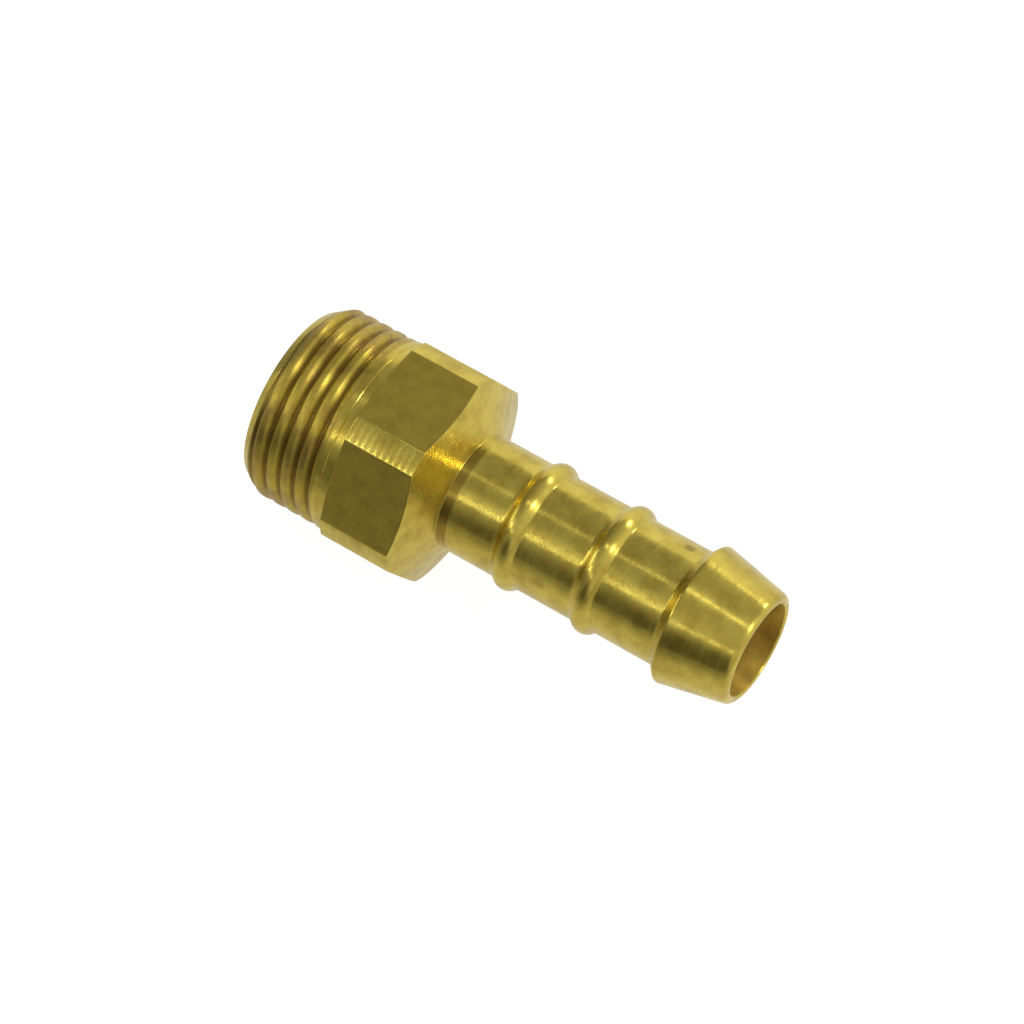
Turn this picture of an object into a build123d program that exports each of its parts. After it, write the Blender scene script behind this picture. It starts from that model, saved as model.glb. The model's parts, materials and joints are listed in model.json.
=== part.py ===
"""Hose tail turned from hexagonal brass bar: a parallel male pipe thread, a spanner hexagon and
a tube with two gripping beads and a barbed head, all one piece with a bore right through it.

The fitting's axis is +X and points from the thread towards the hose. The origin is on that axis,
in the plane of the shoulder where the hexagon starts behind the thread. +Z is the normal of the
hexagon's upper flat, so the fitting lies on the lower one.
"""

import os
from math import radians, sqrt, tan

from build123d import *

# Parallel pipe thread, size 3/8: the blank at its major diameter
thread_major_d = 16.662
thread_minor_d = 14.950
thread_length = 8.4  # end face to shoulder
lead_angle = 34.0  # chamfer on the thread's first turns, from the axis
lead_depth = 0.1  # the end face is smaller than the minor radius by this

# Hexagon
hex_across_flats = 17.0
hex_corner_d = 18.55  # the bar's corners are turned down to this
hex_length = 6.4  # along the turned corners
hex_front_chamfer = 0.15  # axial length, on the shoulder
hex_back_angle = 20.8  # the conical face towards the hose, from the plane across the axis

# Tube that the hose grips
tail_length = 28.1  # end of the hexagon's corners to the mouth
tube_d = 9.9

# Beads
bead_d = 11.0
bead_crown_radius = 0.95
bead_root_fillet = 0.75
bead_count = 2
bead_start = 7.75  # end of the hexagon's corners to the first bead
bead_spacing = 7.2

# Barbed head
barb_d = 11.9
barb_back_length = 0.83  # the ramp that rises from the tube
barb_half_angle = 11.6
barb_crest_fillet = 0.33
barb_root_fillet = 0.2
barb_length = 6.75  # foot of the ramp to the mouth
nose_radius = 0.65

# Bore
bore_d = 8.0
mouth_chamfer = 0.12
inlet_chamfer = 0.5

# Places along the axis
thread_end_x = -thread_length
mouth_x = hex_length + tail_length
barb_foot_x = mouth_x - barb_length
barb_crest_x = barb_foot_x + barb_back_length

# Radii
thread_r = thread_major_d / 2
thread_end_r = thread_minor_d / 2 - lead_depth
corner_r = hex_corner_d / 2
flat_r = hex_across_flats / 2
tube_r = tube_d / 2
barb_r = barb_d / 2
bore_r = bore_d / 2

lead_length = (thread_r - thread_end_r) / tan(radians(lead_angle))
hex_back_length = (corner_r - tube_r) * tan(radians(hex_back_angle))
tube_start_x = hex_length + hex_back_length
bead_places = [hex_length + bead_start + i * bead_spacing for i in range(bead_count)]
bead_centre_r = bead_d / 2 - bead_crown_radius
bead_half_width = sqrt(bead_crown_radius**2 - (tube_r - bead_centre_r) ** 2)
barb_mouth_r = barb_r - (mouth_x - barb_crest_x) * tan(radians(barb_half_angle))


def at(x, r):
    """Picks a sketch's corner by its place along the axis and its radius."""
    return lambda vertex: abs(vertex.X - x) < 0.01 and abs(vertex.Y - r) < 0.01


def ring(x, r):
    """Picks a circular edge round the axis by its place and its radius."""
    return lambda edge: abs(edge.arc_center.X - x) < 0.01 and abs(edge.radius - r) < 0.01


with BuildPart() as hose_tail:
    # Hexagonal bar, one flat up and one down
    with BuildSketch(Plane.YZ):
        RegularPolygon(flat_r, side_count=6, major_radius=False)
    extrude(amount=tube_start_x)

    # The lathe's cuts on the bar: chamfered shoulder, turned corners and the conical face
    with BuildSketch(Plane.XZ):
        Polygon(
            (0, 0),
            (0, flat_r),
            (hex_front_chamfer, corner_r),
            (hex_length, corner_r),
            (tube_start_x, tube_r),
            (tube_start_x, 0),
            align=None,
        )
    revolve(axis=Axis.X, mode=Mode.INTERSECT)

    # Thread blank with the chamfer that leads its first turns
    with BuildSketch(Plane.XZ):
        Polygon(
            (thread_end_x, 0),
            (thread_end_x, thread_end_r),
            (thread_end_x + lead_length, thread_r),
            (hex_front_chamfer, thread_r),
            (hex_front_chamfer, 0),
            align=None,
        )
    revolve(axis=Axis.X)

    # Tube with its beads and barbed head, one profile with every corner rounded as it was turned
    with BuildSketch(Plane.XZ) as tail:
        Polygon(
            (tube_start_x, 0),
            (tube_start_x, tube_r),
            (barb_foot_x, tube_r),
            (barb_crest_x, barb_r),
            (mouth_x, barb_mouth_r),
            (mouth_x, 0),
            align=None,
        )
        with Locations(*[(x, bead_centre_r) for x in bead_places]):
            Circle(bead_crown_radius)
        for x in bead_places:
            for side in (-1, 1):
                fillet(tail.vertices().filter_by(at(x + side * bead_half_width, tube_r)), bead_root_fillet)
        fillet(tail.vertices().filter_by(at(barb_foot_x, tube_r)), barb_root_fillet)
        fillet(tail.vertices().filter_by(at(barb_crest_x, barb_r)), barb_crest_fillet)
        fillet(tail.vertices().filter_by(at(mouth_x, barb_mouth_r)), nose_radius)
    revolve(axis=Axis.X)

    # Bore from end to end, with both mouths broken
    with BuildSketch(Plane.YZ.offset(thread_end_x)):
        Circle(bore_r)
    extrude(amount=mouth_x - thread_end_x, mode=Mode.SUBTRACT)
    circles = hose_tail.edges().filter_by(GeomType.CIRCLE)
    chamfer(circles.filter_by(ring(thread_end_x, bore_r)), inlet_chamfer)
    circles = hose_tail.edges().filter_by(GeomType.CIRCLE)
    chamfer(circles.filter_by(ring(mouth_x, bore_r)), mouth_chamfer)

hose_tail.part.label = "hose_tail"
os.makedirs("parts", exist_ok=True)
export_step(hose_tail.part, "parts/hose_tail.step")
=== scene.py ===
"""Looks of a turned brass hose tail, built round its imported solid.

The fitting's own frame is kept: +X runs along the bore from the thread to the hose, the hexagon's
shoulder is at x = 0 and one flat of the hexagon lies on the floor. An angle round the axis is
measured from +Y towards +Z. Sizes are in millimetres, and MM turns them to metres where a mesh,
a lamp or a pattern is made.
"""
import json
from math import acos, ceil, cos, pi, radians, sin, tan, tau

import bmesh
import bpy
from mathutils import Matrix, Vector


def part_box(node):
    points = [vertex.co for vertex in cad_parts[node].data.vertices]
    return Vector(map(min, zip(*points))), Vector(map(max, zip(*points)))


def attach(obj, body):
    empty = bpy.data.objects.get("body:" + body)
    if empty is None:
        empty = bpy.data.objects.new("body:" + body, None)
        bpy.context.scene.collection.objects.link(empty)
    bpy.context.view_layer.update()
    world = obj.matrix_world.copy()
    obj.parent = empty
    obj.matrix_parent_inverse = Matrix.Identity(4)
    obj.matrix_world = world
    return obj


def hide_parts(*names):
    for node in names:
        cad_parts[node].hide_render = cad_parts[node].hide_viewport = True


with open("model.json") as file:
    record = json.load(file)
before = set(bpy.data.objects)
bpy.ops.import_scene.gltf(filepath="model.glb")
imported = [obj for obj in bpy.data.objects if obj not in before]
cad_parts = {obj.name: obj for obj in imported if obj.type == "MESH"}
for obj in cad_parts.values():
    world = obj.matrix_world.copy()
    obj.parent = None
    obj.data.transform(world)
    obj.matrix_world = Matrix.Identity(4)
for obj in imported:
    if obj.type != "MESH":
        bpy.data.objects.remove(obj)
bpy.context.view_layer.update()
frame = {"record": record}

MM = 0.001

# Sizes that the solid gives
mounts = {mount["name"]: mount["dims"] for mount in frame["record"]["mounts"]}
low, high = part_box("hose_tail")
thread_end_x = low.x / MM
mouth_x = high.x / MM
corner_r = high.y / MM
flat_r = high.z / MM
bore_r = mounts["through_bore"]["r_mm"]
collar_r = mounts["male_thread"]["r_mm"]

# Thread: 19 shallow turns to the inch, from the end face to a plain collar
pitch = 25.4 / 19
flank_angle = radians(36)  # between a flank and the plane across the axis
pitch_r = collar_r - 0.14  # where a groove is half a pitch wide
root_r = collar_r - 0.5
crest_r = collar_r - 0.05
root_rounding = 0.12
crest_rounding = 0.24
hose_side_rounding = 0.12  # more on the flank that faces the hose, and less on the other
first_groove = 0.84  # end face to the first groove's centre, at the start angle
start_angle = 118.5
cut_turns = 4.2  # where the die starts to lift out of the last groove
run_out_turns = 0.3
cut_length = 6.98
collar_step = 0.04  # length of the slope from the crests up to the collar
lead_angle = radians(34)
thread_end_r = collar_r - 0.956  # where the lead cone meets the end face
die_cut_r = root_r - 0.02  # what the die has touched lies outside this radius

# Hexagon
hex_length = 6.4
hex_front_chamfer = 0.15
hex_back_angle = radians(20.8)
hex_edge = 0.08  # the broken edges of flats and lands

# Tube, beads and barbed head
tube_r = 4.95
tube_root_fillet = 0.1
bead_r = 5.5
bead_crown = 0.95
bead_fillet = 0.75
bead_foot_fillet = 0.25  # the foot towards the hose is turned closer
bead_places = (14.15, 21.35)
barb_r = 5.95
barb_length = 6.75
barb_back = 0.83
barb_angle = radians(11.6)
barb_crest_fillet = 0.33
barb_root_fillet = 0.2
nose_fillet = 0.65
mouth_chamfer = 0.12
mouth_edge = 0.02
inlet_chamfer = 0.5
edge_break = 0.05
score_depth = 0.04  # the fine line that a tool leaves where it stops
score_half = 0.05
collar_score_x = -0.84

# How finely the skin is divided
thread_row = 0.037
flat_columns = 30
land_columns = 10
arc_step = radians(9)
bevel_over = radians(15)  # edges of the hexagon that turn by more are broken
smooth_under = radians(24)  # edges that turn by less are shaded as one surface
same_place = 1e-4  # points of a section that lie closer are one point
near_enough = 0.01  # a ring of the bore's wall lies this close to its radius
turned_slot, drawn_slot, bored_slot, corner_slot = range(4)  # the skin's finishes, in their order

# Brass: each finish has a clean colour and a dull one, which handling leaves in soft patches
turned_colours = ("#DEC85A", "#C1A745")
die_cut_colours = ("#CCB44A", "#AE8E48")
bored_colours = ("#E8C85E", "#C4A146")
drawn_colours = ("#D0B850", "#BAA142")
# Painted shade with some cutting oil: each thread groove is darkened towards its bottom, where shade falls
groove_oil_and_shade = "#6E5420"
groove_oil_and_shade_share = 0.7
groove_oil_and_shade_height = 0.24  # from a groove's bottom to where its painted shade and oil end
# one colour serves both the painted shade beside the cone and the real tarnish spots
shade_and_tarnish_colour = "#86682C"

# Patterns on the brass
chatter_size = 0.3
chatter_range = (0.3, 0.7)  # noise values at which the brass is smoothest and roughest
roughness_spread = (-0.04, 0.05)
ring_drift = 0.05  # share of the way across the fitting by which the rings' pattern changes
dent_size = 0.9
dent_depth = 0.007
film_size = 1.7
film_range = (0.4, 0.7)  # noise values at which the dull film starts and is full
draw_line_size = 0.3
draw_line_stretch = (0.25, 1, 1)
draw_line_depth = 0.008
draw_film_size = 1.1
draw_film_range = (0.35, 0.7)
drawn_roughness = 0.38
lathe_grain = 0.8  # how far the rings draw out a light

# Painted shade: a dark band on the tube beside the cone, which fades in towards one side; then real tarnish
# spots as (x, angle, radius, share)
root_shade_x = 8.49
root_shade_edge = (0.35, 0.52)  # from its middle to where it starts to fade, and to where it ends
root_shade_share = 0.6
root_shade_towards = (0, -0.66, 0.75)
root_shade_fade = (1.9, 3.4)  # how far that way it starts, and is full
tarnish_spots = [
    (26.5, 57.7, 0.6, 0.6),
    (26.3, 148, 0.9, 0.35),
    (33.7, 135, 0.5, 0.4),
    (17.6, 165, 0.6, 0.3),
]

# Camera
aim = (11.82, 0.16, 0)
camera_azimuth = 33.53
camera_elevation = 56.82
camera_distance = 342.2
camera_lens = 154.57

# Paper sheets under, behind and to the right of the fitting
floor_z = -flat_r
paper_reach = 700
floor_front = -90
wall_front = 40
back_top = 395
wall_top = 480
paper_grey = "#B0B0B0"
pool_reach = (-40, -4)  # where the floor's light has fallen off, and where it is full

# Room and lamps: light is in units of paper white
room_front = 0.09
room_above = 0.43
room_to_hose = 0.28
room_skew = -0.06  # how the edge of the dark front turns towards the hose
room_fall = (-0.937, -0.85)  # where the dark front ends, and where the room is at its full light
lamp_distance = 900


def linear(code):
    """An sRGB hex colour as the linear colour that a shader takes."""
    parts = [int(code[i : i + 2], 16) / 255 for i in (1, 3, 5)]
    return [v / 12.92 if v <= 0.04045 else ((v + 0.055) / 1.055) ** 2.4 for v in parts] + [1]


# Nodes


def add(tree, kind, inputs=(), **settings):
    """Adds a node to a tree with its settings, and gives its inputs values, nodes or sockets."""
    node = tree.nodes.new(kind)
    for name, value in settings.items():
        setattr(node, name, value)
    for key, value in dict(inputs).items():
        if isinstance(value, bpy.types.Node):
            value = value.outputs[0]
        if isinstance(value, bpy.types.NodeSocket):
            tree.links.new(value, node.inputs[key])
        else:
            node.inputs[key].default_value = value
    return node


def maths(tree, operation, *values):
    """One step of arithmetic on numbers or sockets."""
    return add(tree, "ShaderNodeMath", dict(enumerate(values)), operation=operation)


def vector_maths(tree, operation, *values):
    """One step of arithmetic on vectors. A length, a distance or a dot product is a number."""
    node = add(tree, "ShaderNodeVectorMath", dict(enumerate(values)), operation=operation)
    is_number = operation in ("LENGTH", "DISTANCE", "DOT_PRODUCT")
    return node.outputs["Value" if is_number else "Vector"]


def ramp(tree, value, reach, result, **settings):
    """Maps a value's reach to the two ends of the result, and holds it there beyond them."""
    ends = {"From Min": reach[0], "From Max": reach[1], "To Min": result[0], "To Max": result[1]}
    return add(tree, "ShaderNodeMapRange", {"Value": value, **ends}, **settings)


def from_axis(tree, place):
    """A point's distance from the fitting's axis."""
    return vector_maths(tree, "LENGTH", vector_maths(tree, "MULTIPLY", place, (0, 1, 1)))


def noise(tree, place, size, detail, roughness=0.5):
    """Cloudy noise with patches of about the given size."""
    inputs = {"Vector": place, "Scale": 1 / (size * MM), "Detail": detail, "Roughness": roughness}
    return add(tree, "ShaderNodeTexNoise", inputs).outputs["Fac"]


def bump(tree, height, depth, **under):
    """Relief of the given depth, on top of the relief under it."""
    inputs = {"Height": height, "Distance": depth * MM, "Strength": 1, **under}
    return add(tree, "ShaderNodeBump", inputs)


def tinted(tree, share, colour, tint):
    """A colour with a share of a tint in it."""
    inputs = {"Factor": share, "A": colour, "B": linear(tint)}
    return add(tree, "ShaderNodeMix", inputs, data_type="RGBA").outputs["Result"]


# Finishes


def new_finish(name):
    """A material with an empty node tree."""
    finish = bpy.data.materials.new(name)
    finish.use_nodes = True
    finish.node_tree.nodes.clear()
    return finish, finish.node_tree


def bare_metal(tree, colour, roughness, relief, grain):
    """The surface of uncoated brass, and the tree's output."""
    inputs = {"Base Color": colour, "Metallic": 1, "Roughness": roughness, "Normal": relief, **grain}
    shader = add(tree, "ShaderNodeBsdfPrincipled", inputs)
    add(tree, "ShaderNodeOutputMaterial", {"Surface": shader})


def tarnish_and_shade(tree, place, x_place):
    """The share of darkening at a point: the painted shade band on the tube beside the cone, or the tarnish
    spot it lies in.
    """
    off_band = maths(tree, "ABSOLUTE", maths(tree, "SUBTRACT", x_place, root_shade_x * MM))
    band = ramp(tree, off_band, [edge * MM for edge in root_shade_edge], (root_shade_share, 0))
    towards = vector_maths(tree, "DOT_PRODUCT", place, root_shade_towards)
    near = ramp(tree, towards, [way * MM for way in root_shade_fade], (0, 1))
    most = maths(tree, "MULTIPLY", band, near)
    for x, angle, radius, share in tarnish_spots:
        r = tube_r if x < mouth_x - barb_length else barb_r
        centre = Vector((x, r * cos(radians(angle)), r * sin(radians(angle)))) * MM
        off = vector_maths(tree, "DISTANCE", place, centre)
        spot = ramp(tree, off, (0.5 * radius * MM, radius * MM), (share, 0))
        most = maths(tree, "MAXIMUM", most, spot)
    return most


def turned_brass(name, colours, roughness, feed, feed_share, mark_depth, oil_and_shade_share=0):
    """Free-machining brass straight from the lathe.

    The tool leaves fine rings round the axis, so every light is drawn out along the fitting and
    breaks into short glints. Handling has dulled it a little in soft patches.
    """
    clean, dull = colours
    finish, tree = new_finish(name)
    place = add(tree, "ShaderNodeTexCoord").outputs["Object"]
    split = add(tree, "ShaderNodeSeparateXYZ", {0: place})
    x_place = split.outputs["X"]
    radius = from_axis(tree, place)
    drift = maths(tree, "MULTIPLY", split.outputs["Y"], ring_drift)
    rings = add(tree, "ShaderNodeCombineXYZ", {0: x_place, 1: radius, 2: drift})

    # The tool's feed, the finer chatter between its marks, and dents from handling
    turns = maths(tree, "SINE", maths(tree, "MULTIPLY", x_place, tau / (feed * MM)))
    chatter = noise(tree, rings, chatter_size, 3, 0.6)
    marks = maths(tree, "MULTIPLY_ADD", turns, feed_share, chatter)
    relief = bump(tree, marks, mark_depth)
    relief = bump(tree, noise(tree, place, dent_size, 2), dent_depth, Normal=relief)

    dulled = ramp(tree, noise(tree, place, film_size, 4, 0.6), film_range, (0, 1))
    colour = tinted(tree, dulled, linear(clean), dull)
    # painted shade with some cutting oil, darker towards each groove's bottom
    deep = (root_r * MM, (root_r + groove_oil_and_shade_height) * MM)
    colour = tinted(tree, ramp(tree, radius, deep, (oil_and_shade_share, 0)), colour, groove_oil_and_shade)
    # a painted shade band on the tube beside the cone, and real tarnish spots
    colour = tinted(tree, tarnish_and_shade(tree, place, x_place), colour, shade_and_tarnish_colour)

    uneven = ramp(tree, chatter, chatter_range, [roughness + spread for spread in roughness_spread])
    around = vector_maths(tree, "CROSS_PRODUCT", (1, 0, 0), place)
    grain = {"Anisotropic": lathe_grain, "Anisotropic Rotation": 0.25, "Tangent": around}
    bare_metal(tree, colour, uneven, relief, grain)
    return finish


def drawn_brass():
    """The bar's own skin on the flats: drawn through a die, so duller and faintly lined."""
    clean, dull = drawn_colours
    finish, tree = new_finish("drawn_brass")
    place = add(tree, "ShaderNodeTexCoord").outputs["Object"]
    stretch = add(tree, "ShaderNodeMapping", {"Vector": place, "Scale": draw_line_stretch})
    relief = bump(tree, noise(tree, stretch, draw_line_size, 3, 0.6), draw_line_depth)
    dulled = ramp(tree, noise(tree, place, draw_film_size, 5, 0.65), draw_film_range, (0, 1))
    bare_metal(tree, tinted(tree, dulled, linear(clean), dull), drawn_roughness, relief, {})
    return finish


# The skin


def rounded(corners):
    """The points of a section given by its corners (x, radius, fillet), without the first and last."""
    points = []
    for before, corner, after in zip(corners, corners[1:], corners[2:]):
        here = Vector(corner[:2])
        back = (Vector(before[:2]) - here).normalized()
        ahead = (Vector(after[:2]) - here).normalized()
        half = back.angle(ahead) / 2
        turn = pi - 2 * half
        start = here + back * corner[2] / tan(half)
        centre = here + (back + ahead).normalized() * corner[2] / sin(half)
        steps = ceil(turn / arc_step) if corner[2] else 0
        sense = 1 if back.x * ahead.y < back.y * ahead.x else -1
        for i in range(steps + 1):
            spoke = Matrix.Rotation(sense * turn * i / max(steps, 1), 2) @ (start - centre)
            point = centre + spoke
            if not points or (point - points[-1]).length > same_place:
                points.append(point)
    return points


def filled(points, spacing):
    """The same section with points added so that none of its steps is longer than the spacing."""
    out = [points[0]]
    for start, end in zip(points, points[1:]):
        steps = ceil((end - start).length / spacing)
        out += [start.lerp(end, (i + 1) / steps) for i in range(steps)]
    return out


def score(x, r):
    """The corners of a fine scored line."""
    return [(x - score_half, r, 0), (x, r - score_depth, 0), (x + score_half, r, 0)]


def bead(x):
    """The corners of a bead, whose side towards the thread runs into its crown without a straight."""
    slope = acos((tube_r + bead_fillet - bead_r + bead_crown) / (bead_crown + bead_fillet))
    side = bead_fillet * tan(slope / 2) + bead_crown * tan(slope)
    foot = side * cos(slope)
    return [
        (x - foot, tube_r, bead_fillet),
        (x, tube_r + side * sin(slope), bead_crown),
        (x + foot, tube_r, bead_foot_fillet),
    ]


def shank_section():
    """The section from the bore over the end face, the thread's blank and the collar to the hexagon."""
    lead_end_x = thread_end_x + (crest_r - thread_end_r) / tan(lead_angle)
    collar_x = thread_end_x + cut_length
    points = rounded(
        [
            (thread_end_x + inlet_chamfer, bore_r, 0),
            (thread_end_x, bore_r + inlet_chamfer, edge_break),
            (thread_end_x, thread_end_r, edge_break),
            (lead_end_x, crest_r, 0),
            (collar_x, crest_r, 0),
            (collar_x + collar_step, collar_r, 0),
            *score(collar_score_x, collar_r),
            (0, collar_r, 0),
            (0, flat_r, 0),
        ]
    )
    blank_starts = thread_end_x + edge_break
    collar_starts = collar_x + collar_step / 2
    end_face = [p for p in points if p.x < blank_starts]
    blank = [p for p in points if blank_starts <= p.x < collar_starts]
    collar = [p for p in points if p.x > collar_starts]
    return end_face[:-1] + filled([end_face[-1]] + blank, thread_row) + collar


def tail_section():
    """The section from the cone's foot along the tube to the mouth, and back through the bore."""
    barb_foot_x = mouth_x - barb_length
    barb_crest_x = barb_foot_x + barb_back
    barb_mouth_r = barb_r - (mouth_x - barb_crest_x) * tan(barb_angle)
    tube_start_x = hex_length + (corner_r - tube_r) * tan(hex_back_angle)
    return rounded(
        [
            (hex_length, corner_r, 0),
            (tube_start_x, tube_r, tube_root_fillet),
            *bead(bead_places[0]),
            *bead(bead_places[1]),
            (barb_foot_x, tube_r, barb_root_fillet),
            (barb_crest_x, barb_r, barb_crest_fillet),
            (mouth_x, barb_mouth_r, nose_fillet),
            (mouth_x, bore_r + mouth_chamfer, mouth_edge),
            (mouth_x - mouth_chamfer, bore_r, mouth_edge),
            (thread_end_x + inlet_chamfer, bore_r, edge_break),
            (thread_end_x, bore_r + inlet_chamfer, 0),
        ]
    )


def columns_round_axis():
    """The skin's columns: each flat and each land between two flats has its own share of them."""
    half_land = radians(30) - acos(flat_r / corner_r)
    angles = []
    for corner in range(6):
        centre = radians(60) * corner
        for i in range(land_columns):
            angles.append(centre - half_land + 2 * half_land * i / land_columns)
        for i in range(flat_columns):
            angles.append(centre + half_land + (radians(60) - 2 * half_land) * i / flat_columns)
    return angles


def hexagon_ring(columns, place):
    """A ring of the hexagon's edge, where the bar's flats cut the cone through its corners."""
    ring = []
    for angle in columns:
        off_flat = (angle % radians(60)) - radians(30)
        r = min(flat_r / cos(off_flat), corner_r)
        ring.append((place(r), r))
    return ring


def skin_slot(ring, next_ring, on_hexagon, column):
    """The finish of a face between two rings, which both lie on the bore's wall where it is bored."""
    if on_hexagon:
        is_land = column % (land_columns + flat_columns) < land_columns
        return corner_slot if is_land else drawn_slot
    in_bore = max(ring[0][1], next_ring[0][1]) < bore_r + near_enough
    return bored_slot if in_bore else turned_slot


def hose_tail_skin(finishes):
    """The whole fitting as one closed skin of rings: the outside from thread to mouth, then the bore."""
    columns = columns_round_axis()
    chamfer_slope = hex_front_chamfer / (corner_r - flat_r)
    rings = [[tuple(p)] * len(columns) for p in shank_section()]
    hexagon = len(rings)
    rings.append(hexagon_ring(columns, lambda r: (r - flat_r) * chamfer_slope))
    rings.append(hexagon_ring(columns, lambda r: hex_length + (corner_r - r) * tan(hex_back_angle)))
    rings += [[tuple(p)] * len(columns) for p in tail_section()]

    skin = bmesh.new()
    grid = []
    for ring in rings:
        places = [(x * MM, r * cos(a) * MM, r * sin(a) * MM) for (x, r), a in zip(ring, columns)]
        grid.append([skin.verts.new(place) for place in places])
    for i, row in enumerate(grid):
        ahead = (i + 1) % len(grid)
        for j in range(len(columns)):
            k = (j + 1) % len(columns)
            face = skin.faces.new((row[j], row[k], grid[ahead][k], grid[ahead][j]))
            face.smooth = True
            face.material_index = skin_slot(rings[i], rings[ahead], i == hexagon, j)

    skin.normal_update()
    hexagon_r = 0.99 * flat_r * MM
    sharp = [
        edge
        for edge in skin.edges
        if edge.calc_face_angle() > bevel_over and min(v.co.yz.length for v in edge.verts) > hexagon_r
    ]
    bmesh.ops.bevel(
        skin, geom=sharp, offset=hex_edge * MM, offset_type="OFFSET", segments=2, profile=0.5, affect="EDGES"
    )
    bmesh.ops.recalc_face_normals(skin, faces=skin.faces)
    for edge in skin.edges:
        edge.smooth = edge.calc_face_angle() < smooth_under
    mesh = bpy.data.meshes.new("hose_tail_skin")
    skin.to_mesh(mesh)
    skin.free()
    for finish in finishes:
        mesh.materials.append(finish)
    return mesh


# The thread


def thread_tree():
    """Cuts a right-hand thread into a turned blank by moving each point in to the thread's radius.

    A groove's section is a straight flank, rounded into the root and rounded over at the crest.
    The last groove fades out where the die lifts.
    """
    tree = bpy.data.node_groups.new("cut_thread", "GeometryNodeTree")
    sockets = tree.interface
    sockets.new_socket("Blank", in_out="INPUT", socket_type="NodeSocketGeometry")
    for name in (
        "Pitch",
        "Pitch Radius",
        "Root Radius",
        "Flank Slope",
        "Root Rounding",
        "Crest Rounding",
        "Hose-side Rounding",
        "First Groove",
        "Start Turn",
        "Cut Turns",
        "Run-out Turns",
        "Collar",
        "Deepest Cut",
    ):
        sockets.new_socket(name, in_out="INPUT", socket_type="NodeSocketFloat")
    sockets.new_socket("Finish", in_out="INPUT", socket_type="NodeSocketMaterial")
    sockets.new_socket("Threaded", in_out="OUTPUT", socket_type="NodeSocketGeometry")
    size = add(tree, "NodeGroupInput").outputs

    place = add(tree, "GeometryNodeInputPosition")
    split = add(tree, "ShaderNodeSeparateXYZ", {0: place})
    radius = from_axis(tree, place)

    # How many turns round and how many pitches along each point is from where the thread starts
    angle = maths(tree, "ARCTAN2", split.outputs["Z"], split.outputs["Y"])
    turn = maths(tree, "SUBTRACT", maths(tree, "DIVIDE", angle, tau), size["Start Turn"])
    along = maths(tree, "SUBTRACT", split.outputs["X"], size["First Groove"])
    phase = maths(tree, "SUBTRACT", maths(tree, "DIVIDE", along, size["Pitch"]), turn)
    groove = maths(tree, "ROUND", phase)
    turns_cut = maths(tree, "ADD", groove, turn)

    # The groove's section, by the distance from the groove's centre
    off = maths(tree, "SUBTRACT", phase, groove)
    side = maths(tree, "SINE", maths(tree, "MULTIPLY", off, tau))
    rounding = maths(tree, "MULTIPLY_ADD", side, size["Hose-side Rounding"], size["Crest Rounding"])
    off = maths(tree, "SUBTRACT", maths(tree, "ABSOLUTE", off), 0.25)
    off = maths(tree, "MULTIPLY", off, size["Pitch"])
    flank = maths(tree, "MULTIPLY_ADD", off, size["Flank Slope"], size["Pitch Radius"])
    section = maths(tree, "SMOOTH_MAX", flank, size["Root Radius"], size["Root Rounding"])
    section = maths(tree, "SMOOTH_MIN", section, radius, rounding)
    lifted = maths(tree, "ADD", size["Cut Turns"], size["Run-out Turns"])
    section = ramp(
        tree, turns_cut, (size["Cut Turns"], lifted), (section, radius), interpolation_type="SMOOTHSTEP"
    )

    shrink = maths(tree, "DIVIDE", section, radius)
    shrink = add(tree, "ShaderNodeCombineXYZ", {"X": 1, "Y": shrink, "Z": shrink})
    moved = vector_maths(tree, "MULTIPLY", place, shrink)
    cut = add(tree, "GeometryNodeSetPosition", {"Geometry": size["Blank"], "Position": moved})
    real = add(tree, "GeometryNodeRealizeInstances", {"Geometry": cut})

    # The die's finish goes on what lies before the collar and outside the bore and the end face
    before_collar = {"A": split.outputs["X"], "B": size["Collar"]}
    before_collar = add(tree, "FunctionNodeCompare", before_collar, operation="LESS_THAN")
    outside = {"A": radius, "B": size["Deepest Cut"]}
    outside = add(tree, "FunctionNodeCompare", outside, operation="GREATER_THAN")
    threaded = add(tree, "FunctionNodeBooleanMath", {0: before_collar, 1: outside}, operation="AND")
    finished = {"Geometry": real, "Selection": threaded, "Material": size["Finish"]}
    finished = add(tree, "GeometryNodeSetMaterial", finished)
    add(tree, "NodeGroupOutput", {"Threaded": finished})
    return tree


def cut_thread(blank, finish):
    """Cuts the thread into the blank and returns the result as a plain mesh."""
    tree = thread_tree()
    modifier = blank.modifiers.new("cut_thread", "NODES")
    modifier.node_group = tree
    sizes = {
        "Pitch": pitch * MM,
        "Pitch Radius": pitch_r * MM,
        "Root Radius": root_r * MM,
        "Flank Slope": 1 / tan(flank_angle),
        "Root Rounding": root_rounding * MM,
        "Crest Rounding": crest_rounding * MM,
        "Hose-side Rounding": -hose_side_rounding * MM,
        "First Groove": (thread_end_x + first_groove) * MM,
        "Start Turn": start_angle / 360,
        "Cut Turns": cut_turns,
        "Run-out Turns": run_out_turns,
        "Collar": (thread_end_x + cut_length) * MM,
        "Deepest Cut": die_cut_r * MM,
        "Finish": finish,
    }
    for socket in tree.interface.items_tree:
        if socket.name in sizes:
            modifier[socket.identifier] = sizes[socket.name]
    weighting = blank.modifiers.new("even_normals", "WEIGHTED_NORMAL")
    weighting.keep_sharp = True
    bpy.context.view_layer.update()
    shaped = blank.evaluated_get(bpy.context.evaluated_depsgraph_get())
    return bpy.data.meshes.new_from_object(shaped)


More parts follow.
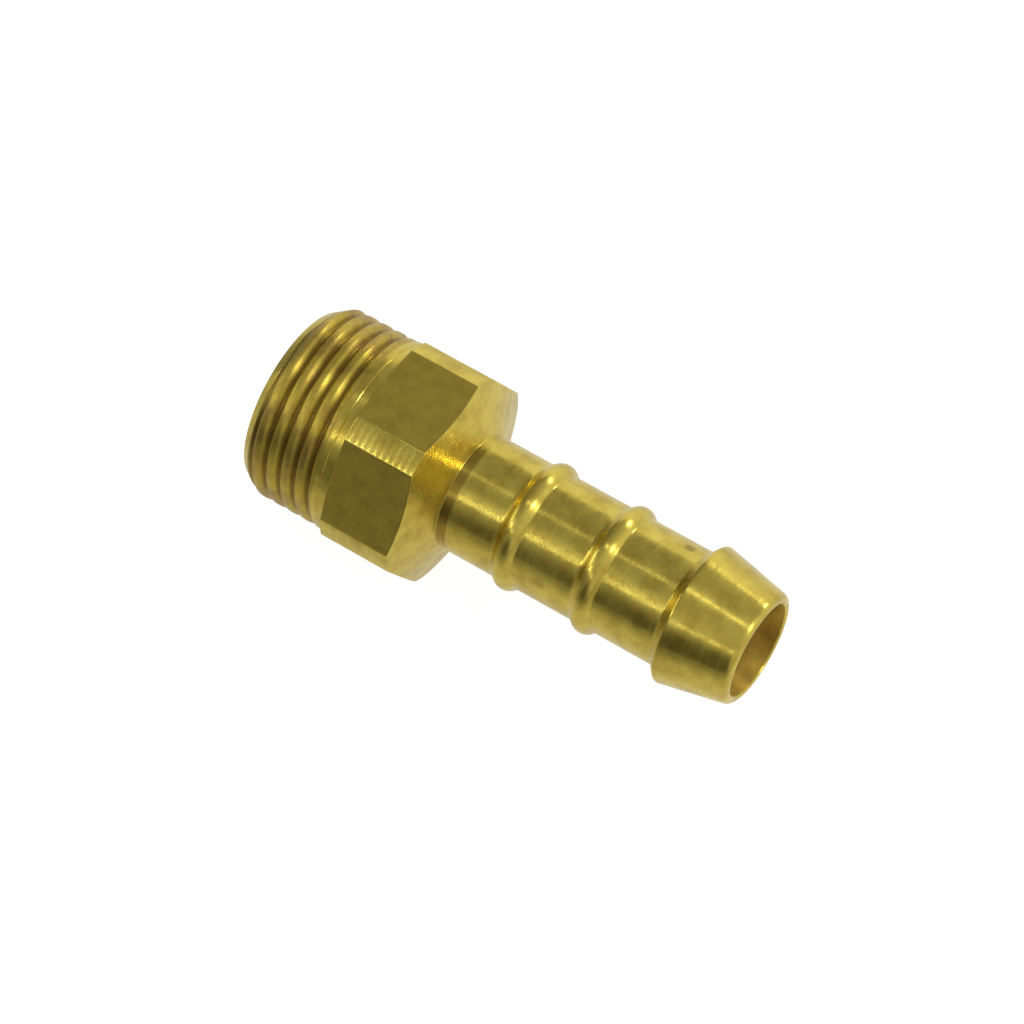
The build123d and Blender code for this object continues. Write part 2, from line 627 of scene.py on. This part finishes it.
def make_hose_tail():
    """The dressed fitting, in place of its plain solid."""
    turned = turned_brass(
        "turned_brass", turned_colours, roughness=0.26, feed=0.37, feed_share=0.05, mark_depth=0.007
    )
    die_cut = turned_brass(
        "die_cut_brass",
        die_cut_colours,
        roughness=0.4,
        feed=0.2,
        feed_share=0,
        mark_depth=0.012,
        oil_and_shade_share=groove_oil_and_shade_share,
    )
    bored = turned_brass(
        "bored_brass", bored_colours, roughness=0.62, feed=0.4, feed_share=0.1, mark_depth=0.014
    )
    corners = turned_brass(
        "turned_corner_brass", turned_colours, roughness=0.26, feed=0.57, feed_share=0.5, mark_depth=0.02
    )
    blank = bpy.data.objects.new("blank", hose_tail_skin([turned, drawn_brass(), bored, corners]))
    bpy.context.scene.collection.objects.link(blank)
    piece = bpy.data.objects.new("threaded_hose_tail", cut_thread(blank, die_cut))
    bpy.data.objects.remove(blank)
    bpy.context.scene.collection.objects.link(piece)
    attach(piece, "root")
    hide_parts("hose_tail")


# Stage, lamps and camera


def paper(name, glow, mirrored, mirrored_front):
    """Backdrop paper: seen as white, with the fitting's own shadow left on it.

    Where brass mirrors it, its light may fall off towards the front.
    """
    finish, tree = new_finish(name)
    place = add(tree, "ShaderNodeTexCoord").outputs["Object"]
    split = add(tree, "ShaderNodeSeparateXYZ", {0: place})
    reach = [y * MM for y in pool_reach]
    pool = ramp(tree, split.outputs["Y"], reach, (mirrored_front, mirrored))
    path = add(tree, "ShaderNodeLightPath").outputs
    seen = maths(tree, "MULTIPLY", path["Is Camera Ray"], glow)
    mirror = maths(tree, "MAXIMUM", path["Is Glossy Ray"], path["Is Transmission Ray"])
    strength = maths(tree, "MULTIPLY_ADD", mirror, pool, seen)
    light = add(tree, "ShaderNodeEmission", {"Color": linear("#FFFFFF"), "Strength": strength})
    sheet = add(tree, "ShaderNodeBsdfDiffuse", {"Color": linear(paper_grey)})
    both = add(tree, "ShaderNodeAddShader", {0: light, 1: sheet})
    add(tree, "ShaderNodeOutputMaterial", {"Surface": both})
    return finish


def sheet_of_paper(name, near, far, finish):
    """A level or upright sheet of the stage, given by two opposite corners."""
    side = [near[0], far[1], near[2]] if near[2] == far[2] else [far[0], far[1], near[2]]
    other = [near[i] + far[i] - side[i] for i in range(3)]
    mesh = bpy.data.meshes.new(name)
    mesh.from_pydata([Vector(corner) * MM for corner in (near, side, far, other)], [], [range(4)])
    mesh.materials.append(finish)
    sheet = bpy.data.objects.new(name, mesh)
    bpy.context.scene.collection.objects.link(sheet)


def from_target(azimuth, elevation):
    """The direction from the fitting to a lamp or the camera; azimuth 0 is in front, at -Y."""
    azimuth, elevation = radians(azimuth), radians(elevation)
    across = cos(elevation)
    return Vector((sin(azimuth) * across, -cos(azimuth) * across, sin(elevation)))


def lamp(name, azimuth, elevation, width, height, radiance):
    """A rectangular softbox that faces the fitting."""
    light = bpy.data.lights.new(name, "AREA")
    light.shape = "RECTANGLE"
    light.size = width * MM
    light.size_y = height * MM
    light.energy = radiance * pi * light.size * light.size_y
    holder = bpy.data.objects.new(name, light)
    direction = from_target(azimuth, elevation)
    holder.location = Vector(aim) * MM + direction * lamp_distance * MM
    holder.rotation_euler = direction.to_track_quat("Z", "Y").to_euler()
    bpy.context.scene.collection.objects.link(holder)


def surroundings():
    """A plain grey room, darker in front of the fitting than above it."""
    world = bpy.data.worlds.new("room")
    bpy.context.scene.world = world
    world.use_nodes = True
    tree = world.node_tree
    tree.nodes.clear()
    place = add(tree, "ShaderNodeTexCoord").outputs["Generated"]
    split = add(tree, "ShaderNodeSeparateXYZ", {0: place})
    above = maths(tree, "MULTIPLY_ADD", split.outputs["X"], room_to_hose, room_above)
    ahead = maths(tree, "MULTIPLY_ADD", split.outputs["X"], room_skew, split.outputs["Y"])
    level = ramp(tree, ahead, room_fall, (room_front, above))
    glow = add(tree, "ShaderNodeBackground", {"Color": linear("#FFFFFF"), "Strength": level})
    add(tree, "ShaderNodeOutputWorld", {"Surface": glow})


def camera():
    """The camera: it looks down on the fitting from the mouth's side."""
    lens = bpy.data.cameras.new("camera")
    lens.lens = camera_lens
    lens.sensor_width = 36
    lens.clip_start = 0.01
    holder = bpy.data.objects.new("camera", lens)
    holder.location = (Vector(aim) + from_target(camera_azimuth, camera_elevation) * camera_distance) * MM
    holder.rotation_euler = (radians(90 - camera_elevation), 0, radians(camera_azimuth))
    bpy.context.scene.collection.objects.link(holder)
    bpy.context.scene.camera = holder


make_hose_tail()
white = paper("backdrop_paper", glow=0.88, mirrored=0.52, mirrored_front=0)
wall = paper("wall_paper", glow=0.8, mirrored=0.75, mirrored_front=0.75)
sheet_of_paper("floor", (-paper_reach, floor_front, floor_z), (paper_reach, paper_reach, floor_z), white)
sheet_of_paper("back", (-paper_reach, paper_reach, floor_z), (paper_reach, paper_reach, back_top), wall)
sheet_of_paper("right", (paper_reach, wall_front, floor_z), (paper_reach, paper_reach, wall_top), wall)
surroundings()
lamp("key_lamp", azimuth=-44, elevation=35.5, width=150, height=62, radiance=10)
lamp("key_strip", azimuth=-15, elevation=38.5, width=900, height=30, radiance=3.2)
lamp("key_glow", azimuth=-30, elevation=49, width=500, height=230, radiance=0.3)
lamp("left_lamp", azimuth=-74, elevation=27, width=380, height=240, radiance=2.8)
lamp("side_lamp", azimuth=99, elevation=36, width=95, height=62, radiance=75)
lamp("rear_lamp", azimuth=156, elevation=27.5, width=65, height=48, radiance=180)
lamp("rear_strip", azimuth=180, elevation=28.5, width=900, height=25, radiance=9)
lamp("top_strip", azimuth=90, elevation=88, width=60, height=450, radiance=2.4)
camera()
bpy.context.scene.view_settings.view_transform = "Standard"
